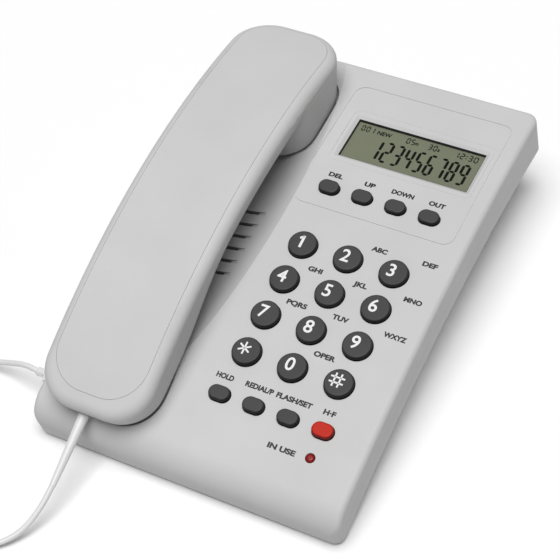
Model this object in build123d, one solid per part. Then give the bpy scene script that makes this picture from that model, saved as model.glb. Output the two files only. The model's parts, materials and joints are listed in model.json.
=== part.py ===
from build123d import *
import os
from math import asin, atan2, cos, degrees, hypot, pi, radians, sin, sqrt, tan

# Corded desk telephone. One STEP file for each physical piece, in millimetres.
#
# Desk frame: +X to the right, +Y to the rear, +Z up. The origin is on the desk, under the middle
# of the phone. The face frame is tilted with the keypad: its Z is the way that the keys travel,
# and its origin is on the face, in the middle of the digit keys.

# ---------------------------------------------------------------- driving dimensions
FACE_TILT = 10.0
FACE_ORIGIN = (26.0, -26.49, 36.0)
WALL = 2.2
SLIDING_GAP = 0.3  # between pieces that move past each other
ASSEMBLY_GAP = 0.2  # between pieces that are only fitted together

# Upper housing
BASE_LEFT, BASE_RIGHT = -94.0, 42.0
BASE_FRONT, BASE_REAR = -79.0, 124.2
FACE_RADIUS = 607.0  # the face is a shallow arch from front to rear
LIP_RADIUS = 12.0
FRONT_CORNER, REAR_CORNER = 4.5, 5.0
PLAN_EXCESS = 0.001
TOP_EDGE_ROUND = 2.5
SKIRT_RADIUS, SKIRT_CREST_Y, SKIRT_CREST_Z = 500.0, -8.0, -16.2

# Handset, drawn as arcs about one centre line across the phone
HANDSET_X = -65.8
HANDSET_WIDTH = 48.6
ARC_Y, ARC_Z = 21.0, -265.0
BACK_RADIUS, HANDLE_RADIUS = 290.0, 276.0
MOUTH_ANGLE, EAR_ANGLE = 19.5, 20.4
MOUTH_CORNER, EAR_CORNER, CUP_CORNER = 17.0, 18.0, 15.5
SHOULDER_ROUND, HANDLE_ROUND, CUP_ROUND = 4.5, 8.0, 3.0
HANDLE_END_Y = 14.0
MOUTH_CURVE = [(-9.0, 6.9), (-28.0, 0.3), (-48.0, -4.3)]
MOUTH_END_Z = -7.0
CUP_FRONT_Y, CUP_FRONT_Z = 64.5, -7.4
CUP_REAR_Z = -15.3
COVER_INSET, COVER_THICKNESS, COVER_SEAM = 4.2, 2.0, 0.13
COVER_MOUTH_INSET, COVER_MOUTH_CORNER = 7.8, 16.0
HANDLE_VOID_INSET, HANDLE_VOID_ROUND = 5.0, 5.0

# Cradle
POCKET_SIDE_GAP, POCKET_FLOOR_GAP = 1.1, 0.35
VALLEY_RADIUS, VALLEY_SLOPE = 60.0, 0.066
VALLEY_Y, VALLEY_FLOOR_Z = 40.0, -9.9

# Display
PANEL_X, PANEL_Y, PANEL_SIZE, PANEL_CORNER = -0.1, 79.3, (71.8, 67.4), 5.0
DISPLAY_X, DISPLAY_Y = 1.4, 84.7
WINDOW_SIZE = (57.8, 21.6)
RECESS_DEPTH, RECESS_SLOPE = 1.0, 1.5
GROOVE_SIZE, GROOVE_CORNER, GROOVE_WIDTH, GROOVE_DEPTH = (64.0, 29.6), 3.0, 0.35, 0.25
WINDOW_THICKNESS = 1.2
MODULE_SIZE, MODULE_THICKNESS = (64.0, 27.0), 3.0

# Keys
DIGIT_RADIUS = 5.95
DIGIT_COLUMNS = (-20.0, 0.0, 20.0)
DIGIT_PITCH_Y = 17.23
DIGIT_NAMES = (("1", "2", "3"), ("4", "5", "6"), ("7", "8", "9"), ("star", "0", "hash"))
OVAL_SIZE = (8.9, 6.2)
OVAL_START, OVAL_PITCH = -22.45, 14.85
UPPER_OVALS_Y, LOWER_OVALS_Y = 55.6, -45.5
UPPER_OVALS = ("delete", "up", "down", "out")
LOWER_OVALS = ("hold", "redial", "flash", "hands_free")
KEY_PROUD, KEY_TRAVEL, KEY_EDGE_ROUND = 2.4, 1.2, 0.9
FLANGE_LIP, FLANGE_THICKNESS, STEM_RADIUS = 1.1, 0.8, 2.5
STEM_END_Z = -7.0
MAT_TOP_Z, MAT_THICKNESS = -8.6, 1.0
COLLAR_HEIGHT, COLLAR_WALL = 1.0, 1.2

# Lamp
LAMP_X, LAMP_Y, LAMP_RADIUS, LAMP_PROUD = 21.8, -56.8, 1.85, 0.7

# Sound slots
SLOT_REAR_Y, SLOT_PITCH, SLOT_COUNT, SLOT_WIDTH = 37.1, 6.38, 6, 1.6
SLOT_LEFT, SLOT_RIGHT, SLOT_TAPER = -61.0, -47.5, 4.0
SLOT_RAMP_LOW, SLOT_RAMP_HIGH = -8.4, -5.7

# Main board, keypad mat and loudspeaker
BOARD_THICKNESS = 1.6
BOARD_TOP_Z = MAT_TOP_Z - MAT_THICKNESS
BOARD_LEFT, BOARD_RIGHT, BOARD_FRONT, BOARD_REAR = -34.0, 33.2, -70.0, 60.0
BOARD_SCREWS = ((-31.5, 38.0), (30.6, 38.0), (-31.5, -35.0), (30.6, -35.0))
BOARD_BOSS_RADIUS, BOARD_SCREW_RADIUS = 2.6, 1.25
MAT_HALF_X, MAT_Y = 27.6, (-51.0, 60.0)
SPEAKER_X, SPEAKER_Y, SPEAKER_RADIUS, SPEAKER_TOP_Z = -50.0, 21.0, 18.0, -12.5

# Lower housing, upright in the desk frame
FOOT_HEIGHT, FOOT_RADIUS = 2.5, 6.0
FOOT_X, FOOT_Y = 48.0, 80.0
FLOOR_HALF_X, FLOOR_HALF_Y, FLOOR_CORNER = 57.0, 88.0, 10.0
FLOOR_DRAFT = 7.0
FLANGE_BOTTOM, FLANGE_TOP = 1.0, 3.0  # above the skirt's lower edge
HOUSING_BOSS_RADIUS, SCREW_RADIUS = 3.0, 1.4
MICROPHONE_PLACE = (20.0, -76.0)

# Batteries
CELL_RADIUS, CELL_LENGTH, CELL_COUNT, CELL_PITCH = 5.25, 44.5, 3, 10.9
BATTERY_X, BATTERY_Y = 6.0, 12.0
BATTERY_COVER_SIZE, BATTERY_COVER_THICKNESS = (42.0, 58.0), 1.8
BAY_SIZE, BAY_HEIGHT = (36.0, 53.0), 12.0
BAY_FLOOR_Z = FOOT_HEIGHT + BATTERY_COVER_THICKNESS

# Jacks and switches
LINE_JACK_SIZE, LINE_JACK_X, LINE_JACK_Z = (14.0, 16.0, 13.0), 26.0, 13.0
LINE_JACK_MOUTH, LINE_JACK_DEPTH = (9.8, 7.0), 13.0
HANDSET_JACK_SIZE, HANDSET_JACK_Y, HANDSET_JACK_Z = (14.0, 10.6, 8.6), -58.6, -13.2
JACK_MOUTH, HANDSET_JACK_DEPTH = (8.2, 6.6), 11.0
PLUG_HALF_Y, PLUG_HALF_Z, PLUG_LENGTH_OUT = 3.8, 3.0, 9.0
RINGER_X, RINGER_Z, RINGER_TRAVEL, RINGER_KNOB = -20.0, -22.0, 2.0, (4.0, 3.0)
HOOK_Y, HOOK_SIZE, HOOK_TRAVEL = 74.0, (9.0, 6.0), 4.0
HOOK_TOP_Z, HOOK_FLANGE_Z, HOOK_BRACKET_Z, HOOK_POSTS = 39.7, 29.2, 22.0, (-12.0, 12.0)

# Handset's inner pieces
RECEIVER_RADIUS = 16.0
CUP_MIDDLE = 23.5  # receiver's middle, behind the cup's front
MOUTH_HOLES_Y = -52.0
RELIEF_NECK_RADIUS, RELIEF_ROOT_RADIUS, RELIEF_TIP_RADIUS = 1.8, 2.2, 1.3

# Handset cord, in the desk frame
CORD_DIAMETER = 2.4
COIL_DIAMETER = 10.4
RELIEF_ROOT = (-42.6, -97.9, 22.9)
RELIEF_TIP = (-42.4, -126.5, 12.0)
LEAD_ROUTE = [
    RELIEF_TIP, (-43.4, -135.8, 7.8), (-46.8, -145.6, 3.6), (-53.5, -153.5, 2.2), (-62.0, -158.6, 3.4),
]
COIL_ROUTE = [
    (-70.0, -160.8, 5.3), (-92.0, -165.0, 5.3), (-117.0, -160.0, 5.3), (-137.0, -145.0, 5.3),
    (-144.0, -121.0, 5.3), (-135.0, -98.0, 5.3), (-114.0, -85.5, 5.3),
]
TAIL_ROUTE = [
    (-113.6, -85.2, 5.3), (-106.0, -81.6, 4.6), (-97.8, -80.3, 6.0), (-90.2, -80.5, 9.6),
    (-83.6, -80.9, 12.3),
]
CORD_GAP = 0.8

FACE = Pos(*FACE_ORIGIN) * Rot(X=FACE_TILT)
DESK = FACE.inverse()  # places a shape of the desk frame in the face frame


# ---------------------------------------------------------------- helpers
def face_z(y, depth=0.0):
    """Height of the arched face at y, or of the surface a depth below it."""
    return sqrt((FACE_RADIUS - depth) ** 2 - y * y) - FACE_RADIUS


def skirt_z(y):
    """Height of the skirt's lower edge at y."""
    return SKIRT_CREST_Z - SKIRT_RADIUS + sqrt(SKIRT_RADIUS ** 2 - (y - SKIRT_CREST_Y) ** 2)


def across(profile, left, right):
    """Extrude a (y, z) profile from left to right."""
    return extrude(Plane.YZ.offset(left) * profile, amount=right - left)


def upright(sketch, bottom, top):
    """Extrude an (x, y) sketch between two heights."""
    return extrude(Pos(0, 0, bottom) * sketch, amount=top - bottom)


def slab(size, corner=0.0):
    """Rectangle with rounded corners."""
    if corner:
        return RectangleRounded(size[0], size[1], corner)
    return Rectangle(*size)


def ring(outer, inner):
    """Flat ring of two radii."""
    return Circle(outer) - Circle(inner)


def block(x_range, y_range, z_range):
    """Box between pairs of limits."""
    size = [high - low for low, high in (x_range, y_range, z_range)]
    middle = [(low + high) / 2 for low, high in (x_range, y_range, z_range)]
    return Pos(*middle) * Box(*size)


def outline_edges(shape, faces):
    """Edges of a patch of faces that belong to only one of them."""
    seen = {}
    for face in faces:
        for edge in face.edges():
            key = tuple(round(value, 2) for value in edge.center())
            seen.setdefault(key, []).append(edge)
    return [edges[0] for edges in seen.values() if len(edges) == 1]


def facing(shape, direction):
    """Faces whose normal points mostly along a direction."""
    return [face for face in shape.faces() if face.normal_at().dot(Vector(*direction)) > 0.7]


# ---------------------------------------------------------------- upper housing
def base_profile(inset=0.0, drop=0.0):
    """Side view of the base: arched face, rounded front lip, upright front and rear, arched skirt."""
    lip_y = BASE_FRONT + LIP_RADIUS
    lip_z = sqrt((FACE_RADIUS - LIP_RADIUS) ** 2 - lip_y ** 2) - FACE_RADIUS
    reach = hypot(lip_y, lip_z + FACE_RADIUS)
    tangent = (lip_y / reach * (FACE_RADIUS - inset), face_z(0) - FACE_RADIUS
               + (lip_z + FACE_RADIUS) / reach * (FACE_RADIUS - inset))
    radius = LIP_RADIUS - inset
    lip_angle = (atan2(tangent[1] - lip_z, tangent[0] - lip_y) + pi) / 2
    lip_middle = (lip_y + radius * cos(lip_angle), lip_z + radius * sin(lip_angle))
    front, rear = BASE_FRONT + inset, BASE_REAR - inset
    skirt = [(y, skirt_z(y) - drop) for y in (front, 20.0, rear)]
    crown = [(y, face_z(y, inset)) for y in (rear, 20.0)]
    return make_face([
        ThreePointArc(*crown, tangent),
        ThreePointArc(tangent, lip_middle, (front, lip_z)),
        Line((front, lip_z), skirt[0]),
        ThreePointArc(*skirt),
        Line(skirt[2], crown[0]),
    ])


def base_plan(inset=0.0):
    """Top view of the base. It passes the side view's front, so that the two share no face."""
    front, rear = BASE_FRONT + inset - PLAN_EXCESS, BASE_REAR - inset
    size = (BASE_RIGHT - BASE_LEFT - 2 * inset, rear - front)
    plan = Pos((BASE_LEFT + BASE_RIGHT) / 2, (front + rear) / 2) * Rectangle(*size)
    plan = fillet(plan.vertices().group_by(Axis.Y)[-1], REAR_CORNER - inset)
    return fillet(plan.vertices().group_by(Axis.Y)[0], FRONT_CORNER - inset)


def base_block(inset=0.0, drop=0.0):
    """Solid of the base's side view and top view together."""
    body = across(base_profile(inset, drop), BASE_LEFT, BASE_RIGHT)
    return body & upright(base_plan(inset), -80.0, 20.0)


def rounded_base():
    """The base's outer form, with its top edge rounded all the way round."""
    body = base_block()
    edges = []
    for edge in body.edges():
        middle = edge.center()
        if middle.Z < -13.5:
            continue
        on_side = min(abs(middle.X - BASE_LEFT), abs(middle.X - BASE_RIGHT)) < 0.1 and middle.Y < 110
        on_rear = middle.Y > 119
        to_side = min(middle.X - BASE_LEFT, BASE_RIGHT - middle.X)
        on_lip_corner = 0.1 < to_side < FRONT_CORNER and middle.Y < BASE_FRONT + FRONT_CORNER
        if on_side or on_rear or on_lip_corner:
            edges.append(edge)
    return fillet(edges, TOP_EDGE_ROUND)


# ---------------------------------------------------------------- handset form
def polar(radius, angle):
    """Point (y, z) of the handset's side view."""
    return (ARC_Y + radius * sin(radians(angle)), ARC_Z + radius * cos(radians(angle)))


def polar_z(radius, y):
    """Height of an arc of the handset at y."""
    return ARC_Z + sqrt(radius ** 2 - (y - ARC_Y) ** 2)


def end_angle(angle, side):
    """Angle of one of the handset's ends when it is moved in by a distance."""
    return angle - degrees(side / BACK_RADIUS)


def handle_profile(side=0.0, under=0.0, back=BACK_RADIUS):
    """Side view of the handle and the mouthpiece."""
    mouth, ear = end_angle(MOUTH_ANGLE, side), end_angle(EAR_ANGLE, side)
    handle = HANDLE_RADIUS + under
    handle_end = (HANDLE_END_Y, polar_z(handle, HANDLE_END_Y))
    mouth_radius = (MOUTH_END_Z + under - ARC_Z) / cos(radians(mouth))
    mouth_end = polar(mouth_radius, -mouth)
    curve = [handle_end] + [(y, z + under) for y, z in MOUTH_CURVE] + [mouth_end]
    return make_face([
        ThreePointArc(polar(back, -mouth), polar(back, 0), polar(back, ear)),
        Line(polar(back, ear), polar(handle, ear)),
        ThreePointArc(polar(handle, ear), polar(handle, 9.0), handle_end),
        Spline(*curve, tangents=[(-1.0, -0.025), (-1.0, -0.1)]),
        Line(mouth_end, polar(back, -mouth)),
    ])


def round_ends(body, front_radius, rear_radius, split_y):
    """Round the four edges where the ends meet the sides."""
    for radius, is_front in ((front_radius, True), (rear_radius, False)):
        edges = [
            edge for edge in body.edges()
            if edge.geom_type == GeomType.LINE and abs((edge % 0.5).Z) > 0.8
            and (edge.center().Y < split_y) == is_front
        ]
        body = fillet(edges, radius)
    return body


def handle_block(side=0.0, under=0.0, back=BACK_RADIUS, round_under=HANDLE_ROUND, shoulder=0.0):
    """Handle and mouthpiece as a solid with rounded ends and a rounded underside."""
    half = HANDSET_WIDTH / 2 - side
    body = across(handle_profile(side, under, back), HANDSET_X - half, HANDSET_X + half)
    body = round_ends(body, MOUTH_CORNER - side, EAR_CORNER - side, ARC_Y)
    if shoulder:
        body = fillet(outline_edges(body, facing(body, (0, 0, 1))), shoulder)
    return fillet(outline_edges(body, facing(body, (0, 0, -1))), round_under)


def cup_slope():
    """Slope of the ear cup's lower face, from its front to the handset's rear end."""
    rear_y = ARC_Y + (CUP_REAR_Z - ARC_Z) * tan(radians(EAR_ANGLE))
    return (CUP_REAR_Z - CUP_FRONT_Z) / (rear_y - CUP_FRONT_Y)


def cup_block(side=0.0, under=0.0, top=BACK_RADIUS - 7.0, round_under=CUP_ROUND):
    """Ear cup below the handle."""
    angle = end_angle(EAR_ANGLE, side)
    front_y = CUP_FRONT_Y + side
    front = (front_y, CUP_FRONT_Z + under + cup_slope() * side)
    rear_radius = (CUP_REAR_Z + under - ARC_Z) / cos(radians(angle))
    profile = make_face([
        Line(front, polar(rear_radius, angle)),
        Line(polar(rear_radius, angle), polar(top, angle)),
        ThreePointArc(polar(top, angle), polar(top, 14.0), (front_y, polar_z(top, front_y))),
        Line((front_y, polar_z(top, front_y)), front),
    ])
    half = HANDSET_WIDTH / 2 - side
    body = across(profile, HANDSET_X - half, HANDSET_X + half)
    body = round_ends(body, CUP_CORNER - side, EAR_CORNER - side, CUP_FRONT_Y + 20.0)
    return fillet(outline_edges(body, facing(body, (0, 0, -1))), round_under)


def handset_block(side=0.0, under=0.0, shoulder=0.0):
    """Whole handset form, or the form grown by a negative side and under for its pocket."""
    return handle_block(side, under, shoulder=shoulder) + cup_block(side, under)


def back_layer(grow, low, high):
    """Outline of the handset's cover between two radii, grown by a distance."""
    mouth = end_angle(MOUTH_ANGLE, COVER_MOUTH_INSET - grow)
    ear = end_angle(EAR_ANGLE, COVER_INSET - grow)
    profile = make_face([
        ThreePointArc(polar(high, -mouth), polar(high, 0), polar(high, ear)),
        Line(polar(high, ear), polar(low, ear)),
        ThreePointArc(polar(low, ear), polar(low, 0), polar(low, -mouth)),
        Line(polar(low, -mouth), polar(high, -mouth)),
    ])
    half = HANDSET_WIDTH / 2 - COVER_INSET + grow
    body = across(profile, HANDSET_X - half, HANDSET_X + half)
    return round_ends(body, COVER_MOUTH_CORNER + grow, EAR_CORNER - COVER_INSET + grow, ARC_Y)


# ---------------------------------------------------------------- places
def display_place():
    """Frame on the face in the middle of the display, following the arch."""
    tilt = degrees(asin(DISPLAY_Y / FACE_RADIUS))
    return Pos(DISPLAY_X, DISPLAY_Y, face_z(DISPLAY_Y)) * Rot(X=-tilt)


def cup_place():
    """Frame in the middle of the ear cup's lower face."""
    slope = cup_slope()
    middle = Pos(HANDSET_X, CUP_FRONT_Y + CUP_MIDDLE, CUP_FRONT_Z + CUP_MIDDLE * slope)
    return middle * Rot(X=degrees(slope))


def digit_keys():
    """Name and place of each digit key."""
    keys = []
    for row, names in enumerate(DIGIT_NAMES):
        for x, name in zip(DIGIT_COLUMNS, names):
            keys.append((f"key_{name}", x, (1.5 - row) * DIGIT_PITCH_Y))
    return keys


def oval_keys():
    """Name and place of each oval key."""
    keys = []
    for y, names in ((UPPER_OVALS_Y, UPPER_OVALS), (LOWER_OVALS_Y, LOWER_OVALS)):
        for column, name in enumerate(names):
            keys.append((f"key_{name}", OVAL_START + column * OVAL_PITCH, y))
    return keys


def key_outline(is_digit, grow=0.0):
    """Top view of a key, grown for its flange or its hole."""
    if is_digit:
        return Circle(DIGIT_RADIUS + grow)
    return SlotOverall(OVAL_SIZE[0] + 2 * grow, OVAL_SIZE[1] + 2 * grow)


def slot_rows():
    """Y of each sound slot."""
    return [SLOT_REAR_Y - row * SLOT_PITCH for row in range(SLOT_COUNT)]


# ---------------------------------------------------------------- upper housing's cuts
def valley(grow=0.0):
    """Finger valley across the cradle."""
    place = Pos(HANDSET_X, VALLEY_Y, VALLEY_FLOOR_Z + VALLEY_RADIUS)
    return place * Rot(X=90 - degrees(VALLEY_SLOPE)) * Cylinder(VALLEY_RADIUS + grow, 260.0)


def pocket(grow=0.0):
    """Space for the handset."""
    return handset_block(-POCKET_SIDE_GAP - grow, -POCKET_FLOOR_GAP - grow)


def display_cuts():
    """Bevelled recess, window opening and the fine groove round the display."""
    mouth = (WINDOW_SIZE[0] + 2 * RECESS_SLOPE, WINDOW_SIZE[1] + 2 * RECESS_SLOPE)
    bevel = degrees(atan2(RECESS_SLOPE, RECESS_DEPTH))
    recess = extrude(slab(mouth), amount=-RECESS_DEPTH, taper=bevel)
    above = upright(slab(mouth), 0.0, 1.0)
    opening = upright(slab(WINDOW_SIZE), -6.0, 0.0)
    outer = slab(GROOVE_SIZE, GROOVE_CORNER)
    inner_size = [side - 2 * GROOVE_WIDTH for side in GROOVE_SIZE]
    groove = upright(outer - slab(inner_size, GROOVE_CORNER - GROOVE_WIDTH), -GROOVE_DEPTH, 1.0)
    return [display_place() * cut for cut in (recess, above, opening, groove)]


def panel_groove():
    """Fine groove round the display panel."""
    inner = [side - 2 * GROOVE_WIDTH for side in PANEL_SIZE]
    line = slab(PANEL_SIZE, PANEL_CORNER) - slab(inner, PANEL_CORNER - GROOVE_WIDTH)
    band = upright(Pos(PANEL_X, PANEL_Y) * line, -20.0, 5.0)
    layer = across(make_face([
        ThreePointArc(*[(y, face_z(y) + 1.0) for y in (BASE_REAR, 20.0, BASE_FRONT)]),
        Line((BASE_FRONT, face_z(BASE_FRONT) + 1.0), (BASE_FRONT, face_z(BASE_FRONT, GROOVE_DEPTH))),
        ThreePointArc(*[(y, face_z(y, GROOVE_DEPTH)) for y in (BASE_FRONT, 20.0, BASE_REAR)]),
        Line((BASE_REAR, face_z(BASE_REAR, GROOVE_DEPTH)), (BASE_REAR, face_z(BASE_REAR) + 1.0)),
    ]), BASE_LEFT, BASE_RIGHT)
    return band & layer


def key_holes():
    """Holes for the keys and the lamp."""
    holes = []
    for keys, is_digit in ((digit_keys(), True), (oval_keys(), False)):
        for _, x, y in keys:
            holes.append(upright(Pos(x, y) * key_outline(is_digit, SLIDING_GAP), -12.0, 5.0))
    holes.append(upright(Pos(LAMP_X, LAMP_Y) * Circle(LAMP_RADIUS + ASSEMBLY_GAP), -12.0, 5.0))
    return holes


def sound_slots():
    """Slots in the valley over the loudspeaker, each running out in a shallow taper."""
    cuts = []
    for y in slot_rows():
        middle = (SLOT_LEFT + SLOT_RIGHT) / 2
        length = SLOT_RIGHT - SLOT_LEFT
        cuts.append(Pos(middle, y, -7.0) * Box(length, SLOT_WIDTH, 16.0))
        fall = VALLEY_SLOPE * (VALLEY_Y - y)
        ramp = Polygon(
            (SLOT_RIGHT, SLOT_RAMP_LOW + fall), (SLOT_RIGHT + SLOT_TAPER, SLOT_RAMP_HIGH + fall),
            (SLOT_RIGHT + SLOT_TAPER, 2.0), (SLOT_RIGHT, 2.0), align=None,
        )
        cuts.append(extrude(Plane.XZ.offset(-y - SLOT_WIDTH / 2) * ramp, amount=SLOT_WIDTH))
    return cuts


def housing_screw_places():
    """Places of the screws that join the two housings, beside the skirt."""
    return [(x, y) for x in (BASE_LEFT + 5.4, BASE_RIGHT - 5.4) for y in (-38.0, 106.0)]


def housing_bosses():
    """Pillars inside the upper housing for its screws, and the loudspeaker's ring."""
    bosses = []
    for x, y in BOARD_SCREWS:
        bosses.append(upright(Pos(x, y) * ring(BOARD_BOSS_RADIUS, BOARD_SCREW_RADIUS), BOARD_TOP_Z, 5.0))
    for x, y in housing_screw_places():
        pillar = ring(HOUSING_BOSS_RADIUS, SCREW_RADIUS)
        rise = HOUSING_BOSS_RADIUS * abs(y - SKIRT_CREST_Y) / SKIRT_RADIUS
        bosses.append(upright(Pos(x, y) * pillar, skirt_z(y) + FLANGE_TOP + 1.1 * rise, 5.0))
    speaker = Pos(SPEAKER_X, SPEAKER_Y) * ring(SPEAKER_RADIUS + 2.0, SPEAKER_RADIUS + ASSEMBLY_GAP)
    bosses.append(upright(speaker, SPEAKER_TOP_Z - 3.0, 5.0))
    return bosses


def hook_guide():
    """Sleeve for the hook plunger and two posts for the hook switch, upright in the desk frame."""
    x, y = hook_xy()
    sleeve = upright(Pos(x, y) * slab((HOOK_SIZE[0] + 3.6, HOOK_SIZE[1] + 3.6)), HOOK_TOP_Z - 3.7, 60.0)
    posts = [upright(Pos(x + side, y) * Circle(2.2), HOOK_BRACKET_Z, 60.0) for side in HOOK_POSTS]
    return [sleeve] + posts


def hook_xy():
    """Place of the hook plunger in the desk frame."""
    point = (FACE * Pos(HANDSET_X, HOOK_Y, CUP_FRONT_Z)).position
    return point.X, point.Y


def jack_box(grow=0.0):
    """Space of the handset jack."""
    half_y, half_z = HANDSET_JACK_SIZE[1] / 2 + grow, HANDSET_JACK_SIZE[2] / 2 + grow
    left = BASE_LEFT + WALL
    return block(
        (left - 0.01, left + HANDSET_JACK_SIZE[0] + grow),
        (HANDSET_JACK_Y - half_y, HANDSET_JACK_Y + half_y),
        (HANDSET_JACK_Z - half_z, HANDSET_JACK_Z + half_z),
    )


def upper_housing():
    """Top shell of the base, with its cradle, openings and bosses."""
    interior = base_block(WALL, 30.0) - pocket(WALL) - valley(WALL)
    for boss in housing_bosses():
        interior -= boss
    for boss in hook_guide():
        interior -= DESK * boss
    shell = rounded_base() - pocket() - valley() - interior
    hook = Pos(*hook_xy()) * slab([side + 2 * SLIDING_GAP for side in HOOK_SIZE])
    cuts = display_cuts() + key_holes() + sound_slots() + [panel_groove()]
    cuts.append(DESK * upright(hook, 20.0, 60.0))
    half_y, half_z = JACK_MOUTH[0] / 2, JACK_MOUTH[1] / 2
    cuts.append(block(
        (BASE_LEFT - 1.0, BASE_LEFT + WALL + 1.0),
        (HANDSET_JACK_Y - half_y, HANDSET_JACK_Y + half_y),
        (HANDSET_JACK_Z - half_z, HANDSET_JACK_Z + half_z),
    ))
    half_x = RINGER_KNOB[0] / 2 + RINGER_TRAVEL + SLIDING_GAP
    half_z = RINGER_KNOB[1] / 2 + SLIDING_GAP
    cuts.append(block(
        (RINGER_X - half_x, RINGER_X + half_x),
        (BASE_REAR - WALL - 1.0, BASE_REAR + 1.0),
        (RINGER_Z - half_z, RINGER_Z + half_z),
    ))
    return shell - cuts


# ---------------------------------------------------------------- lower housing
def tub(inset=0.0, bottom=FOOT_HEIGHT, top=60.0):
    """Drafted box of the lower housing, in the desk frame."""
    size = (2 * (FLOOR_HALF_X - inset), 2 * (FLOOR_HALF_Y - inset))
    floor = Pos(0, 0, bottom) * slab(size, FLOOR_CORNER - inset)
    return extrude(floor, amount=top - bottom, taper=-FLOOR_DRAFT)


def skirt_layer(low, high, inset):
    """Layer between two heights above the skirt's lower edge, inside the skirt."""
    ys = (BASE_FRONT - 5.0, 20.0, BASE_REAR + 5.0)
    lower = [(y, skirt_z(y) + low) for y in ys]
    upper = [(y, skirt_z(y) + high) for y in reversed(ys)]
    profile = make_face([
        ThreePointArc(*lower), Line(lower[2], upper[0]), ThreePointArc(*upper), Line(upper[2], lower[0]),
    ])
    layer = across(profile, BASE_LEFT, BASE_RIGHT)
    return layer & upright(base_plan(inset), -60.0, 20.0)


def battery_bay():
    """Walls of the battery bay, in the desk frame."""
    outer = [side + 3.2 for side in BAY_SIZE]
    top = BAY_FLOOR_Z + BAY_HEIGHT
    return upright(Pos(BATTERY_X, BATTERY_Y) * slab(outer), FOOT_HEIGHT, top + 1.6)


def lower_housing():
    """Bottom shell: drafted tub, closing flange inside the skirt, battery bay, openings."""
    below = skirt_layer(-60.0, FLANGE_BOTTOM + 0.5, 0.0)
    walls = (DESK * tub()) & below
    shell = walls + skirt_layer(FLANGE_BOTTOM, FLANGE_TOP, WALL + ASSEMBLY_GAP)
    hollow = tub(WALL, FOOT_HEIGHT + WALL)
    place = Pos(BATTERY_X, BATTERY_Y)
    shell = FACE * (shell - DESK * hollow - jack_box(ASSEMBLY_GAP)) + battery_bay()
    shell -= upright(place * slab(BAY_SIZE), 0.0, BAY_FLOOR_Z + BAY_HEIGHT)
    recess = [side + 2 * ASSEMBLY_GAP for side in BATTERY_COVER_SIZE]
    shell -= upright(place * slab(recess, 2.0 + ASSEMBLY_GAP), 0.0, BAY_FLOOR_Z)
    half_x, half_z = LINE_JACK_SIZE[0] / 2, LINE_JACK_SIZE[2] / 2
    shell -= block(
        (LINE_JACK_X - half_x - ASSEMBLY_GAP, LINE_JACK_X + half_x + ASSEMBLY_GAP),
        (FLOOR_HALF_Y - 6.0, FLOOR_HALF_Y + 8.0),
        (LINE_JACK_Z - half_z - ASSEMBLY_GAP, LINE_JACK_Z + half_z + ASSEMBLY_GAP),
    )
    shell -= upright(Pos(*MICROPHONE_PLACE) * Circle(0.8), 0.0, 8.0)
    for x, y in housing_screw_places():
        shell -= FACE * upright(Pos(x, y) * Circle(SCREW_RADIUS + 0.1), -50.0, 0.0)
    return DESK * shell


def battery_cover():
    """Flush cover of the battery bay, with a finger notch."""
    cover = upright(slab(BATTERY_COVER_SIZE, 2.0), FOOT_HEIGHT, BAY_FLOOR_Z)
    notch = Pos(0, -BATTERY_COVER_SIZE[1] / 2 + 9.0, FOOT_HEIGHT) * Box(16.0, 5.0, 1.4)
    return DESK * Pos(BATTERY_X, BATTERY_Y) * (cover - notch)


def cell_axes():
    """X of each cell and the height of their axes."""
    first = BATTERY_X - (CELL_COUNT - 1) / 2 * CELL_PITCH
    return [first + index * CELL_PITCH for index in range(CELL_COUNT)], BAY_FLOOR_Z + CELL_RADIUS + 0.4


def batteries():
    """Three AAA cells side by side, each with its terminal nub."""
    xs, z = cell_axes()
    cells = []
    for index, x in enumerate(xs):
        facing_rear = index % 2 == 0
        turn = -90 if facing_rear else 90
        can = Cylinder(CELL_RADIUS, CELL_LENGTH - 1.0)
        nub = Pos(0, 0, CELL_LENGTH / 2) * Cylinder(1.9, 1.0)
        cells.append(Pos(x, BATTERY_Y, z) * Rot(X=turn) * (can + nub))
    return DESK * Compound(cells)


def battery_contacts():
    """Plates at both ends of the bay, each with a stud towards its cell."""
    xs, z = cell_axes()
    contacts = []
    for x in xs:
        for side in (-1, 1):
            end = BATTERY_Y + side * (BAY_SIZE[1] / 2 - 0.3)
            plate = Pos(x, end, z) * Box(8.4, 0.6, 8.4)
            reach = BAY_SIZE[1] / 2 - CELL_LENGTH / 2 - 1.0
            stud = Pos(x, end - side * reach / 2, z) * Rot(X=90) * Cylinder(1.6, reach)
            contacts.append(plate + stud)
    return DESK * Compound(contacts)


def rubber_feet():
    """Four round feet under the corners."""
    foot = upright(Circle(FOOT_RADIUS), 0.0, FOOT_HEIGHT)
    foot = fillet(foot.edges().group_by(Axis.Z)[0], 0.6)
    feet = [Pos(x, y) * foot for x in (-FOOT_X, FOOT_X) for y in (-FOOT_Y, FOOT_Y)]
    return DESK * Compound(feet)


def screw(radius, length, head_radius, head_height):
    """Pan-head screw pointing up, its head's seat at height zero."""
    shank = upright(Circle(radius), 0.0, length)
    head = upright(Circle(head_radius), -head_height, 0.0)
    head = fillet(head.edges().group_by(Axis.Z)[0], head_height * 0.45)
    slots = Box(head_radius * 1.2, 0.7, 1.2) + Box(0.7, head_radius * 1.2, 1.2)
    return shank + head - Pos(0, 0, -head_height) * slots


def housing_screws():
    """Screws up through the flange into the upper housing."""
    one = screw(SCREW_RADIUS - 0.05, 7.0, 2.6, 1.6)
    return Compound([
        Pos(x, y, skirt_z(y) + FLANGE_BOTTOM - 0.8) * one for x, y in housing_screw_places()
    ])


def board_screws():
    """Screws that hold the main board to the upper housing."""
    one = screw(BOARD_SCREW_RADIUS - 0.05, BOARD_THICKNESS + 2.8, 2.3, 1.3)
    return Compound([Pos(x, y, BOARD_TOP_Z - BOARD_THICKNESS) * one for x, y in BOARD_SCREWS])


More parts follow.
